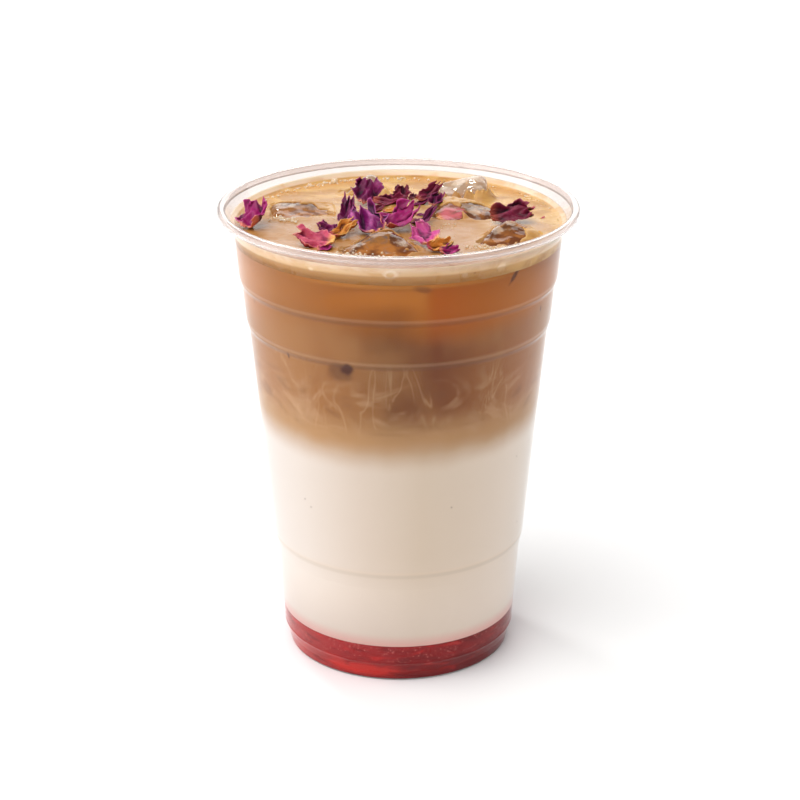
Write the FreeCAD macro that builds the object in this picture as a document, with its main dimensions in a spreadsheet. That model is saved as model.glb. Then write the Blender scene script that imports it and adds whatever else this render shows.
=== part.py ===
"""Iced rose latte in a clear plastic cold cup.

The cup is one thin wall with four stacking steps, a raised base panel and a rim rolled
outwards. It holds, from the bottom up, rose syrup, milk, latte and a layer of crema, each
filling the cup from wall to wall. Ice cubes float in the top of the drink and dried rose
petals lie on it.

Millimetres. +Z up, +Y away from the side that is looked at, origin on the table under the
middle of the cup.
"""
import FreeCAD, Part
import math
import os
import Sketcher

Vector = FreeCAD.Vector

SIZES = {
    # cup: one sheet of plastic
    "cup_height": 124.65,
    "rim_radius": 47.5,
    "wall": 0.5,
    "curl_radius": 1.15,
    "flare_angle": 25,
    "curl_end_angle": 235,
    "step_round": 1.0,
    "foot_round": 0.9,
    # raised panel under the base, inside the ring that the cup stands on
    "panel_rise": 2.4,
    "panel_slope": 58,
    "ring_radius": 26,
    "foot_radius": 30.3,
    # drink: heights of the borders between its layers
    "syrup_top": 11.05,
    "milk_top": 69,
    "latte_top": 116.3,
    "crema_top": 119.9,
    # crema drawn up the wall: how high, how wide, and how far its curve hangs below a straight slope
    "crema_edge_radius": 44.05,
    "meniscus_rise": 1.1,
    "meniscus_width": 2.6,
    "meniscus_bow": 0.35,
    # ice and petals
    "ice_round": 2.6,
    "petal_sheet": 0.4,
}

# The side of the cup from the foot up: (name, rise, how far it spreads)
SIDE = [
    ("foot_band", 3.0, 0.45),
    ("foot_step", 3.0, 0.95),
    ("low_band", 22.5, 1.65),
    ("low_step", 6.0, 1.05),
    ("main_band", 57.8, 5.35),
    ("ring_step", 2.7, 0.85),
    ("grip_band", 9.2, 0.80),
    ("top_step", 2.5, 0.80),
    ("top_band", 11.5, 1.00),
]

ICE_FIELDS = ("x", "y", "top", "length", "width", "depth", "turn", "pitch", "roll")
ICE = [
    (-26.0, 9.0, 121.0, 18, 16, 17, 4, 4, 6),
    (-4.5, -25.6, 122.1, 16, 18, 17, -53, 6, 7),
    (28.2, -15.4, 121.9, 13, 16, 16, -32, 7, 7),
    (17.6, 8.6, 122.1, 18, 15, 18, -16, 5, 8),
    (18.2, 25.2, 124.4, 14, 12, 12, -4, -12, 12),
    (-8.0, 28.6, 124.0, 14, 13, 14, 24, -32, 36),
    (-3.6, 3.4, 121.0, 16, 14, 17, 22, -6, 4),
]

PETAL_FIELDS = ("x", "y", "rest", "length", "width", "turn", "pitch", "roll", "cupping", "curl")
PETALS = [
    (-37.4, -4.2, 0.3, 8.5, 8.5, 75, -24, -22, 95, 60),
    (-8.6, 16.8, 0.7, 9.2, 7.6, 84, -26, 6, 60, 50),
    (0.9, 18.4, 0.2, 5.4, 5.0, 80, -30, 0, 70, 40),
    (8.2, 18.6, 0.7, 8.0, 3.8, 40, -20, 18, 50, 45),
    (-2.4, 10.4, 0.9, 8.2, 3.8, -32, -10, 26, 80, 50),
    (-13.2, -0.6, 0.5, 11.0, 3.8, 82, -18, -12, 90, 55),
    (-17.6, -11.6, 0.0, 6.2, 4.2, 150, -10, -14, 80, 70),
    (-7.3, -9.4, 0.6, 9.6, 8.0, 118, -18, -12, 70, 75),
    (0.5, -7.4, 0.7, 9.6, 8.2, 42, -16, 8, 85, 80),
    (9.9, 10.8, 1.5, 4.8, 3.8, 60, -20, 12, 90, 60),
    (7.2, -2.6, 0.7, 8.2, 2.2, 64, -16, 20, 80, 40),
    (29.4, -1.6, 0.8, 10.0, 7.4, 6, -6, 28, 60, 40),
    (-21.0, -21.6, 0.0, 9.4, 6.6, 170, -8, -18, 55, 60),
    (-14.3, -13.6, 0.6, 7.8, 4.8, 48, -14, 16, 80, 50),
    (6.8, -20.6, 0.9, 8.0, 6.8, 128, -14, -18, 60, 60),
    (10.2, -26.4, 0.2, 6.2, 4.8, 18, -6, 20, 120, 80),
    (12.7, -29.4, 0.0, 4.4, 4.0, 12, -6, 22, 70, 60),
]


def fill_sheet(document):
    """Spreadsheet of the driving dimensions, one named cell for each."""
    sheet = document.addObject("Spreadsheet::Sheet", "sizes")
    cells = dict(SIZES)
    for name, rise, spread in SIDE:
        cells[name + "_rise"] = rise
        cells[name + "_spread"] = spread
    for kind, fields, rows in (("ice", ICE_FIELDS, ICE), ("petal", PETAL_FIELDS, PETALS)):
        for number, row in enumerate(rows, 1):
            for field, value in zip(fields, row):
                cells[f"{kind}_{number}_{field}"] = value
    for row_number, (alias, value) in enumerate(cells.items(), 1):
        sheet.set(f"A{row_number}", alias)
        sheet.set(f"B{row_number}", str(value))
        sheet.setAlias(f"B{row_number}", alias)
    document.recompute()
    return sheet


def origin_plane(body, role):
    return next(plane for plane in body.Origin.OriginFeatures if plane.Role == role)


def new_sketch(body, name):
    """Upright sketch in the body's XZ plane: its x is the radius, its y the height."""
    sketch = body.newObject("Sketcher::SketchObject", name)
    sketch.AttachmentSupport = [(origin_plane(body, "XZ_Plane"), "")]
    sketch.MapMode = "FlatFace"
    return sketch


def bind(sketch, constraint, expression):
    """Adds a dimension to the sketch and ties it to the sheet."""
    index = sketch.addConstraint(constraint)
    sketch.setExpression(f"Constraints[{index}]", expression)


def bind_point(sketch, line, end, radius, height, here):
    """Fixes one end of a line at a radius and a height given by the sheet."""
    if radius == "0":
        sketch.addConstraint(Sketcher.Constraint("PointOnObject", line, end, -2))
    else:
        bind(sketch, Sketcher.Constraint("DistanceX", -1, 1, line, end, here.x), radius)
    if height == "0":
        sketch.addConstraint(Sketcher.Constraint("PointOnObject", line, end, -1))
    else:
        bind(sketch, Sketcher.Constraint("DistanceY", -1, 1, line, end, here.y), height)


def draw_outline(sketch, sheet, corners):
    """Closed outline through corners given as (radius, height) expressions."""
    here = [Vector(float(sheet.evalExpression(r)), float(sheet.evalExpression(z)), 0) for r, z in corners]
    for start, end in zip(here, here[1:] + here[:1]):
        sketch.addGeometry(Part.LineSegment(start, end), False)
    for line in range(len(corners)):
        following = (line + 1) % len(corners)
        sketch.addConstraint(Sketcher.Constraint("Coincident", line, 2, following, 1))
    for line, (radius, height) in enumerate(corners):
        bind_point(sketch, line, 1, radius, height, here[line])


def revolve(body, sketch, name):
    """Full turn of a sketch about the cup's upright axis."""
    turned = body.newObject("PartDesign::Revolution", name)
    turned.Profile = sketch
    turned.ReferenceAxis = (sketch, ["V_Axis"])
    turned.Angle = 360
    body.Document.recompute()
    return turned


def round_rings(body, name, rings, radius):
    """Fillet along the circular edges at the given (radius, height) places."""
    base = body.Tip
    edges = []
    for number, edge in enumerate(base.Shape.Edges, 1):
        if not isinstance(edge.Curve, Part.Circle):
            continue
        for ring_radius, height in rings:
            same_radius = abs(edge.Curve.Radius - ring_radius) < 1e-3
            if same_radius and abs(edge.Curve.Center.z - height) < 1e-3:
                edges.append(f"Edge{number}")
    fillet = body.newObject("PartDesign::Fillet", name)
    fillet.Base = (base, edges)
    fillet.setExpression("Radius", radius)
    body.Document.recompute()


def side_corners(inset):
    """Corners of the cup's side above the foot, moved inwards by inset."""
    radius = f"sizes.foot_radius - {inset}"
    height = "0"
    corners = []
    for name, _, _ in SIDE:
        radius += f" + sizes.{name}_spread"
        height += f" + sizes.{name}_rise"
        corners.append((radius, height))
    return corners


def rim_corner(sheet_radius):
    """Point where the flare runs into the rolled rim, on the face of that radius."""
    centre_r = "sizes.rim_radius - sizes.curl_radius"
    centre_z = "sizes.cup_height - sizes.curl_radius"
    return (f"{centre_r} - ({sheet_radius}) * cos(sizes.flare_angle)",
            f"{centre_z} + ({sheet_radius}) * sin(sizes.flare_angle)")


def make_cup_form(document, sheet, name, inset, rim_points):
    """Solid of revolution as wide as the cup's outer or inner face."""
    shift = f"{inset} * tan(sizes.panel_slope / 2)"
    panel_radius = f"sizes.ring_radius - sizes.panel_rise / tan(sizes.panel_slope) + {shift}"
    side = side_corners(inset)
    foot = (f"sizes.foot_radius - {inset}", inset)
    corners = [
        ("0", f"sizes.panel_rise + {inset}"),
        (panel_radius, f"sizes.panel_rise + {inset}"),
        (f"sizes.ring_radius + {shift}", inset),
        foot,
    ]
    corners += side + rim_points + [("0", rim_points[-1][1])]
    body = document.addObject("PartDesign::Body", name)
    sketch = new_sketch(body, name + "_outline")
    draw_outline(sketch, sheet, corners)
    document.recompute()
    revolve(body, sketch, name + "_turned")

    def placed(points):
        return [tuple(float(sheet.evalExpression(part)) for part in point) for point in points]

    round_rings(body, name + "_steps", placed(side), "sizes.step_round")
    round_rings(body, name + "_foot", placed([foot]), f"sizes.foot_round - {inset}")
    return body


def make_rim(document, sheet):
    """Rim rolled outwards and down: a curl of the same sheet, open underneath."""
    body = document.addObject("PartDesign::Body", "rim_curl")
    sketch = new_sketch(body, "rim_section")
    centre = Vector(sheet.rim_radius - sheet.curl_radius, sheet.cup_height - sheet.curl_radius, 0)
    start = math.radians(sheet.curl_end_angle - 360)
    end = math.radians(180 - sheet.flare_angle)
    bore = sheet.curl_radius - sheet.wall
    for radius in (sheet.curl_radius, bore):
        circle = Part.Circle(centre, Vector(0, 0, 1), radius)
        sketch.addGeometry(Part.ArcOfCircle(circle, start, end), False)
    outer, inner = 0, 1
    for arc_end, angle in ((1, start), (2, end)):
        ray = Vector(math.cos(angle), math.sin(angle), 0)
        across_sheet = Part.LineSegment(centre + ray * bore, centre + ray * sheet.curl_radius)
        line = sketch.addGeometry(across_sheet, False)
        sketch.addConstraint(Sketcher.Constraint("Coincident", line, 1, inner, arc_end))
        sketch.addConstraint(Sketcher.Constraint("Coincident", line, 2, outer, arc_end))
        sketch.addConstraint(Sketcher.Constraint("PointOnObject", outer, 3, line))
    sketch.addConstraint(Sketcher.Constraint("Coincident", outer, 3, inner, 3))
    bind(sketch, Sketcher.Constraint("Radius", outer, sheet.curl_radius), "sizes.curl_radius")
    bind(sketch, Sketcher.Constraint("Radius", inner, bore), "sizes.curl_radius - sizes.wall")
    middle_r = "sizes.rim_radius - sizes.curl_radius"
    middle_z = "sizes.cup_height - sizes.curl_radius"
    bind(sketch, Sketcher.Constraint("DistanceX", -1, 1, outer, 3, centre.x), middle_r)
    bind(sketch, Sketcher.Constraint("DistanceY", -1, 1, outer, 3, centre.y), middle_z)
    flare_r, _ = rim_corner("sizes.curl_radius")
    flare_at = centre + Vector(math.cos(end), math.sin(end), 0) * sheet.curl_radius
    bind(sketch, Sketcher.Constraint("DistanceX", -1, 1, outer, 2, flare_at.x), flare_r)
    lip_angle = "sizes.curl_end_angle - 180"
    lip_at = centre + Vector(math.cos(start), math.sin(start), 0) * sheet.curl_radius
    lip_x = f"{middle_r} - sizes.curl_radius * cos({lip_angle})"
    bind(sketch, Sketcher.Constraint("DistanceX", -1, 1, outer, 1, lip_at.x), lip_x)
    document.recompute()
    revolve(body, sketch, "rim_turned")
    return body


def make_cup(document, sheet):
    """The cup and the solid that its inside would hold."""
    bore = "sizes.curl_radius - sizes.wall"
    rim_inside = rim_corner("sizes.curl_radius")
    outside = make_cup_form(document, sheet, "cup_outside", "0", [rim_corner(bore), rim_inside])
    inside = make_cup_form(document, sheet, "cup_inside", "sizes.wall", [rim_inside])
    shell = document.addObject("Part::Cut", "cup_shell")
    shell.Base = outside
    shell.Tool = inside
    cup = document.addObject("Part::Fuse", "cup")
    cup.Base = shell
    cup.Tool = make_rim(document, sheet)
    return cup, inside


def make_slab(document, name, bottom, top):
    """Disc wider than the cup between two heights of the sheet."""
    slab = document.addObject("Part::Cylinder", name)
    slab.setExpression("Radius", "sizes.rim_radius")
    slab.setExpression("Height", f"{top} - {bottom}")
    slab.setExpression("Placement.Base.z", bottom)
    return slab


def make_crema_slab(document, sheet):
    """The crema's level, with the edge of the liquid drawn up the wall."""
    body = document.addObject("PartDesign::Body", "crema_slab")
    sketch = new_sketch(body, "crema_outline")
    edge = "sizes.crema_edge_radius"
    bow_radius = f"{edge} - sizes.meniscus_width * sizes.meniscus_bow"
    bow_height = "sizes.crema_top + sizes.meniscus_rise * sizes.meniscus_bow"
    corners = [
        ("0", "sizes.latte_top"),
        (edge, "sizes.latte_top"),
        (edge, "sizes.crema_top + sizes.meniscus_rise"),
        (bow_radius, bow_height),
        (f"{edge} - sizes.meniscus_width", "sizes.crema_top"),
        ("0", "sizes.crema_top"),
    ]
    draw_outline(sketch, sheet, corners)
    document.recompute()
    revolve(body, sketch, "crema_turned")
    return body


def tilted(value):
    """Rotation in degrees: turn about Z, then pitch about the new Y, then roll about the new X."""
    return FreeCAD.Rotation(value["turn"], value["pitch"], value["roll"])


def make_ice(document, sheet, number):
    """One ice cube with melted edges, tilted, its highest point at its own height."""
    name = f"ice_{number}"
    value = {field: sheet.get(f"{name}_{field}") for field in ICE_FIELDS}
    block = document.addObject("Part::Box", name + "_block")
    for side, field in (("Length", "length"), ("Width", "width"), ("Height", "depth")):
        block.setExpression(side, f"sizes.{name}_{field}")
    half = Vector(value["length"], value["width"], value["depth"]) * 0.5
    rotation = tilted(value)
    upward = rotation.inverted().multVec(Vector(0, 0, 1))
    rounding = sheet.ice_round
    rise = rounding
    for share, reach in zip(upward, half):
        rise += abs(share) * (reach - rounding)
    centre = Vector(value["x"], value["y"], value["top"] - rise)
    block.Placement = FreeCAD.Placement(centre - rotation.multVec(half), rotation)
    document.recompute()
    cube = document.addObject("Part::Fillet", name)
    cube.Base = block
    cube.Edges = [(edge, rounding, rounding) for edge in range(1, 13)]
    return cube


def petal_half_width(along, width):
    """Narrow at the claw, widest past the middle, blunt at the tip."""
    claw, span, bluntness = 0.10, 0.75, 0.7
    return 0.5 * width * math.sin(math.pi * (claw + span * along)) ** bluntness


def petal_ruffle(along, across, width):
    """Waves that grow towards the petal's long edges."""
    depth, waves, skew = 0.035 * width, 1.5, 1.3
    return depth * across * across * math.sin(2 * math.pi * waves * along + skew * across)


def petal_point(along, across, length, width, cupping, curl):
    """Point of a petal's upper face; along runs 0 to 1 and across -1 to 1."""
    half_width = petal_half_width(along, width)
    cup_angle = math.radians(cupping) / 2
    bend = math.radians(curl)
    turned = bend * (along - 0.5)
    sideways = half_width * math.sin(cup_angle * across) / cup_angle
    dish = half_width * (1 - math.cos(cup_angle * across)) / cup_angle
    forward = length * math.sin(turned) / bend
    lift = length * (1 - math.cos(turned)) / bend
    return Vector(forward, sideways, lift + dish + petal_ruffle(along, across, width))


def make_petal(document, sheet, number):
    """One dried petal: a thin cupped and curled sheet lying on the drink."""
    name = f"petal_{number}"
    value = {field: sheet.get(f"{name}_{field}") for field in PETAL_FIELDS}
    steps_along, steps_across = 8, 6
    grid = []
    for i in range(steps_along + 1):
        row = []
        for j in range(steps_across + 1):
            row.append(petal_point(i / steps_along, 2 * j / steps_across - 1, value["length"],
                                   value["width"], value["cupping"], value["curl"]))
        grid.append(row)
    surface = Part.BSplineSurface()
    surface.interpolate(grid)
    petal = document.addObject("Part::Feature", name)
    petal.Shape = surface.toShape().extrude(Vector(0, 0, -sheet.petal_sheet))
    rotation = tilted(value)
    petal.Placement = FreeCAD.Placement(Vector(value["x"], value["y"], 0), rotation)
    lowest = petal.Shape.optimalBoundingBox().ZMin
    petal.Placement.Base.z = sheet.crema_top + value["rest"] - lowest
    return petal


def make_drink(document, sheet, inside, cubes):
    """The four layers of the drink, each cut from the cup's inside."""
    slabs = [
        ("rose_syrup", make_slab(document, "syrup_slab", "0", "sizes.syrup_top")),
        ("milk", make_slab(document, "milk_slab", "sizes.syrup_top", "sizes.milk_top")),
        ("latte", make_slab(document, "latte_slab", "sizes.milk_top", "sizes.latte_top")),
        ("crema", make_crema_slab(document, sheet)),
    ]
    all_ice = document.addObject("Part::MultiFuse", "all_ice")
    all_ice.Shapes = cubes
    layers = []
    for name, slab in slabs:
        floats_ice = name in ("latte", "crema")
        layer = document.addObject("Part::Common", name + "_level" if floats_ice else name)
        layer.Base = inside
        layer.Tool = slab
        if floats_ice:
            level = layer
            layer = document.addObject("Part::Cut", name)
            layer.Base = level
            layer.Tool = all_ice
        layers.append(layer)
    return layers


def check(document, nodes):
    """Stops the script if any object failed or any piece isn't a sound solid."""
    for item in document.Objects:
        if "Invalid" in item.State or "Error" in item.State:
            raise RuntimeError(f"{item.Label} failed: {item.State}")
    for node in nodes:
        if node.Shape.isNull() or not node.Shape.isValid() or not node.Shape.Solids:
            raise RuntimeError(f"{node.Label} is not a valid solid")


def main():
    document = FreeCAD.newDocument("rose_latte")
    sheet = fill_sheet(document)
    cup, inside = make_cup(document, sheet)
    cubes = [make_ice(document, sheet, number) for number in range(1, len(ICE) + 1)]
    layers = make_drink(document, sheet, inside, cubes)
    petals = [make_petal(document, sheet, number) for number in range(1, len(PETALS) + 1)]
    document.recompute()
    nodes = [cup] + layers + cubes + petals
    check(document, nodes)
    os.makedirs("parts", exist_ok=True)
    for node in nodes:
        node.Label = node.Name
        node.Shape.exportStep(f"parts/{node.Label}.step")
        box = node.Shape.BoundBox
        print(f"{node.Label:12s} solids {len(node.Shape.Solids)} volume {node.Shape.Volume:10.1f}",
              f"z {box.ZMin:7.2f} {box.ZMax:7.2f}")


main()
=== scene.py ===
"""An iced rose latte in a clear plastic cold cup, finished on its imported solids. Metres, +Z up."""

import math
import random

import bmesh
import bpy
from mathutils import Euler, Matrix, Vector, noise
from mathutils.bvhtree import BVHTree


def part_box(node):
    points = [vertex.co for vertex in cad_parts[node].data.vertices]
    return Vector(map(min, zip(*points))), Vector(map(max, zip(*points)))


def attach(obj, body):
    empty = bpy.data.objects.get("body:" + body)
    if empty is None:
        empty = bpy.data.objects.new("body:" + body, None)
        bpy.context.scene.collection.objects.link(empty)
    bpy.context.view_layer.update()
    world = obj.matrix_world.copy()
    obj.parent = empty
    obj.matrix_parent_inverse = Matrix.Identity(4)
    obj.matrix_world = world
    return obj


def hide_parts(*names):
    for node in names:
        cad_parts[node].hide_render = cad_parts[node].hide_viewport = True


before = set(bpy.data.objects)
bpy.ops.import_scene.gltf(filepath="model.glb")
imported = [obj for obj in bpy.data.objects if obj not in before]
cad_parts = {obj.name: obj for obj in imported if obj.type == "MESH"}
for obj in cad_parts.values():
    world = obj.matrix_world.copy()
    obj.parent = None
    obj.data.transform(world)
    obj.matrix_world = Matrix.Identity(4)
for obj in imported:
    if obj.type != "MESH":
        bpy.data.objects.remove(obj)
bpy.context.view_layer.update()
MM = 0.001


# ---- The cup ---------------------------------------------------------
# One sheet of clear plastic, drawn hot into a mould: a raised panel in the base, four steps
# that let cups stack, and a rim rolled outwards and down so that it is stiff and smooth.

WALL = 0.5 * MM
RIM_RADIUS = 47.5 * MM
RIM_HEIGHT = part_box("cup")[1].z
CURL_RADIUS = 1.15 * MM
CURL_END = math.radians(235)
FLARE = math.radians(25)
PANEL_RISE = 2.4 * MM
PANEL_SLOPE = math.radians(58)
RING_RADIUS = 26 * MM
FOOT_RADIUS = 30.3 * MM
SIDE_RUNS = [  # from the foot up: how high each run is, and how far it spreads
    (3.0 * MM, 0.45 * MM),
    (3.0 * MM, 0.95 * MM),
    (22.5 * MM, 1.65 * MM),
    (6.0 * MM, 1.05 * MM),
    (57.8 * MM, 5.35 * MM),
    (2.7 * MM, 0.85 * MM),
    (9.2 * MM, 0.80 * MM),
    (2.5 * MM, 0.80 * MM),
    (11.5 * MM, 1.00 * MM),
]
CORNER_ROUND = 1.0 * MM
CORNER_STEPS = 5
CURL_STEPS = 28
TURNED_SEGMENTS = 256
CURL_MIDDLE = Vector((RIM_RADIUS - CURL_RADIUS, RIM_HEIGHT - CURL_RADIUS))
WALL_PER_DEGREE = 0.72  # millimetres round the wall for a degree, near the top of the drink
TINTED_FROM, TINTED_TO = 117.0, 121.0  # heights in millimetres where the plastic turns greyer
DULLED_FROM, DULLED_TO = 119.0, 122.5  # and where it turns a little less clear


def cup_corners(inset):
    """Corners (radius, height) from the middle of the base to the rim, inset into the sheet."""
    shift = inset * math.tan(PANEL_SLOPE / 2)
    panel_radius = RING_RADIUS - PANEL_RISE / math.tan(PANEL_SLOPE) + shift
    corners = [
        Vector((0, PANEL_RISE + inset)),
        Vector((panel_radius, PANEL_RISE + inset)),
        Vector((RING_RADIUS + shift, inset)),
        Vector((FOOT_RADIUS - inset, inset)),
    ]
    corner = Vector((FOOT_RADIUS - inset, 0))
    for rise, spread in SIDE_RUNS:
        corner = corner + Vector((spread, rise))
        corners.append(corner)
    to_rim = Vector((-math.cos(FLARE), math.sin(FLARE)))
    corners.append(CURL_MIDDLE + to_rim * (CURL_RADIUS - WALL + inset))
    return corners


def round_corners(corners):
    """The same outline with a small curve at each inner corner."""
    outline = [corners[0]]
    for before, corner, after in zip(corners, corners[1:], corners[2:]):
        back, onward = before - corner, after - corner
        turn = math.pi - back.angle(onward)
        reach = min(CORNER_ROUND * math.tan(turn / 2), 0.45 * back.length, 0.45 * onward.length)
        start = corner + back.normalized() * reach
        end = corner + onward.normalized() * reach
        for step in range(CORNER_STEPS + 1):
            share = step / CORNER_STEPS
            outline.append(start.lerp(corner, share).lerp(corner.lerp(end, share), share))
    outline.append(corners[-1])
    return outline


def curl_arc(radius, start, end):
    """One face of the rolled rim, between two angles about its middle."""
    arc = []
    for step in range(CURL_STEPS + 1):
        angle = start + (end - start) * step / CURL_STEPS
        arc.append(CURL_MIDDLE + Vector((math.cos(angle), math.sin(angle))) * radius)
    return arc


def placed(name, data):
    """A mesh, lamp or camera as an object in the scene."""
    thing = bpy.data.objects.new(name, data)
    bpy.context.scene.collection.objects.link(thing)
    return thing


def new_piece(name, shape):
    """A smooth-shaded piece from a bmesh, with its faces turned outwards."""
    bmesh.ops.recalc_face_normals(shape, faces=shape.faces)
    mesh = bpy.data.meshes.new(name)
    shape.to_mesh(mesh)
    shape.free()
    mesh.shade_smooth()
    return placed(name, mesh)


def circle(count):
    """Points round a circle of radius 1."""
    turns = [2 * math.pi * step / count for step in range(count)]
    return [(math.cos(turn), math.sin(turn)) for turn in turns]


def turned(name, outline):
    """A solid of revolution from an outline that starts and ends on the axis."""
    shape = bmesh.new()
    rings = []
    for radius, height in outline:
        around = circle(TURNED_SEGMENTS) if radius > 0 else [(0, 0)]
        rings.append([shape.verts.new((radius * x, radius * y, height)) for x, y in around])
    for lower, upper in zip(rings, rings[1:]):
        for segment in range(TURNED_SEGMENTS):
            following = (segment + 1) % TURNED_SEGMENTS
            corners = [lower[segment % len(lower)], lower[following % len(lower)],
                       upper[following % len(upper)], upper[segment % len(upper)]]
            shape.faces.new(list(dict.fromkeys(corners)))
    return new_piece(name, shape)


class Finish:
    """A material of one Principled shader, with short ways to join nodes into it."""

    def __init__(self, name):
        self.material = bpy.data.materials.new(name)
        self.material.use_nodes = True
        self.tree = self.material.node_tree
        self.shader = self.tree.nodes["Principled BSDF"]
        self.place = self.node("TexCoord").outputs["Object"]

    def node(self, kind, feeds=(), **settings):
        """A shader node of a kind, with its settings and what feeds its sockets."""
        made = self.tree.nodes.new("ShaderNode" + kind)
        for setting, value in settings.items():
            setattr(made, setting, value)
        for socket, source in feeds:
            self.join(source, made.inputs[socket])
        return made

    def join(self, source, socket):
        """Links a socket, or sets a plain value."""
        if isinstance(source, bpy.types.NodeSocket):
            self.tree.links.new(source, socket)
        else:
            socket.default_value = source

    def set(self, **sockets):
        """Gives the shader's sockets, named with _ for a space, values or links."""
        for name, source in sockets.items():
            self.join(source, self.shader.inputs[name.replace("_", " ")])

    def math(self, operation, *values):
        """One step of arithmetic on values or links."""
        return self.node("Math", enumerate(values), operation=operation).outputs[0]

    def times(self, value, *others):
        """Values multiplied together."""
        for other in others:
            value = self.math("MULTIPLY", value, other)
        return value

    def apart(self, first, second):
        """How far apart two values lie."""
        return self.math("ABSOLUTE", self.math("SUBTRACT", first, second))

    def reach(self, across, along):
        """Length of a step across and along."""
        squares = [self.math("POWER", part, 2.0) for part in (across, along)]
        return self.math("SQRT", self.math("ADD", *squares))

    def sway(self, cloud, width):
        """A cloud of 0 to 1 as a shift to either side, width in all."""
        return self.math("MULTIPLY_ADD", cloud, width, -width / 2)

    def mix(self, share, first, second):
        """The first colour, with a share of the second in its place."""
        feeds = [("Factor", share), (6, first), (7, second)]
        return self.node("Mix", feeds, data_type="RGBA").outputs[2]

    def parts(self, vector):
        """The three parts of a vector."""
        return self.node("SeparateXYZ", [(0, vector)]).outputs

    def stretch(self, scale=(1, 1, 1), shift=(0, 0, 0)):
        """The piece's own coordinates in millimetres, stretched."""
        scale = [share / MM for share in scale]
        feeds = [("Vector", self.place), ("Scale", scale), ("Location", shift)]
        return self.node("Mapping", feeds).outputs[0]

    def cloud(self, vector, detail=3.0, distortion=0.0):
        """Soft noise between 0 and 1."""
        feeds = [("Vector", vector), ("Scale", 1.0), ("Detail", detail), ("Distortion", distortion)]
        return self.node("TexNoise", feeds).outputs["Fac"]

    def cells(self, vector, scale):
        """Distance from the nearest of many scattered points."""
        return self.node("TexVoronoi", [("Vector", vector), ("Scale", scale)]).outputs["Distance"]

    def fade(self, value, low, high, start=0.0, end=1.0):
        """Smooth step from start at low to end at high."""
        feeds = [("Value", value), ("From Min", low), ("From Max", high), ("To Min", start), ("To Max", end)]
        return self.node("MapRange", feeds, interpolation_type="SMOOTHSTEP").outputs["Result"]

    def ramp(self, value, stops):
        """Colours along a value; each stop gives the value and the colour as it looks."""
        low, high = stops[0][0], stops[-1][0]
        share = self.math("DIVIDE", self.math("SUBTRACT", value, low), high - low)
        made = self.node("ValToRGB", [("Fac", share)])
        places = [((at - low) / (high - low), shade(*colour)) for at, *colour in stops]
        elements = made.color_ramp.elements
        elements[0].position, elements[0].color = places[0]
        elements[1].position, elements[1].color = places[-1]
        for position, colour in places[1:-1]:
            elements.new(position).color = colour
        return made.outputs["Color"]

    def around(self):
        """Angle in degrees from the front towards the right, and height in millimetres."""
        x, y, z = self.parts(self.stretch())
        angle = self.math("ARCTAN2", x, self.math("MULTIPLY", y, -1.0))
        return self.math("DEGREES", angle), z

    def spot(self, angle, height, at_angle, at_height, half_wide, half_tall, lean=0.0):
        """1 inside an uneven patch on the wall, 0 outside; sizes in millimetres, lean in degrees."""
        sideways = self.times(self.math("SUBTRACT", angle, at_angle), WALL_PER_DEGREE)
        upwards = self.math("SUBTRACT", height, at_height)
        cosine, sine = math.cos(math.radians(lean)), math.sin(math.radians(lean))
        across = self.math("MULTIPLY_ADD", upwards, sine, self.math("MULTIPLY", sideways, cosine))
        along = self.math("MULTIPLY_ADD", sideways, -sine, self.math("MULTIPLY", upwards, cosine))
        reach = self.reach(self.math("DIVIDE", across, half_wide), self.math("DIVIDE", along, half_tall))
        ragged = self.cloud(self.stretch((0.5, 0.5, 0.5)), detail=2.0)
        return self.fade(self.math("ADD", reach, self.sway(ragged, 0.8)), 1.35, 0.55)

    def bump(self, height, distance, strength=1.0):
        """Fine relief in the surface's shading."""
        feeds = [("Height", height), ("Distance", distance), ("Strength", strength)]
        self.set(Normal=self.node("Bump", feeds).outputs["Normal"])


def shade(red, green, blue):
    """A colour as it looks, 0 to 255, in the renderer's linear light."""
    linear = []
    for part in (red, green, blue):
        part /= 255
        linear.append(part / 12.92 if part <= 0.04045 else ((part + 0.055) / 1.055) ** 2.4)
    return (*linear, 1.0)


plastic = Finish("clear plastic")
haze = plastic.cloud(plastic.stretch((0.06, 0.06, 0.02)), detail=2.0)
_, height = plastic.around()
tinted = plastic.fade(height, TINTED_FROM, TINTED_TO)
plastic.set(Base_Color=plastic.mix(tinted, shade(250, 246, 243), shade(240, 231, 227)),
            Roughness=plastic.fade(haze, 0.3, 0.7, 0.04, 0.09), IOR=1.34,
            Transmission_Weight=plastic.fade(height, DULLED_FROM, DULLED_TO, 1.0, 0.88))
plastic.bump(plastic.cloud(plastic.stretch((0.09, 0.09, 0.03)), detail=1.0), 0.05 * MM)

# Fine beads that stiffen the wall along its steps
BEADS = (5.8 * MM, 33.0 * MM, 93.6 * MM, 105.6 * MM)
BEAD_HEIGHT = 0.12 * MM
BEAD_SPREAD = 0.40 * MM
BEAD_REACH = 4 * BEAD_SPREAD
BEAD_STEP = 0.2 * MM


def beaded(outline):
    """The outline with the beads standing out of it, finely divided near them."""
    finer = []
    for start, end in zip(outline, outline[1:]):
        finer.append(start)
        steps = round((end - start).length / BEAD_STEP)
        for step in range(1, steps):
            point = start.lerp(end, step / steps)
            if start.x > FOOT_RADIUS and any(abs(point.y - bead) < BEAD_REACH for bead in BEADS):
                finer.append(point)
    finer.append(outline[-1])
    for point in finer:
        if point.x > FOOT_RADIUS:
            point.x += sum(BEAD_HEIGHT * math.exp(-((point.y - bead) / BEAD_SPREAD) ** 2) for bead in BEADS)
    return finer


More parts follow.
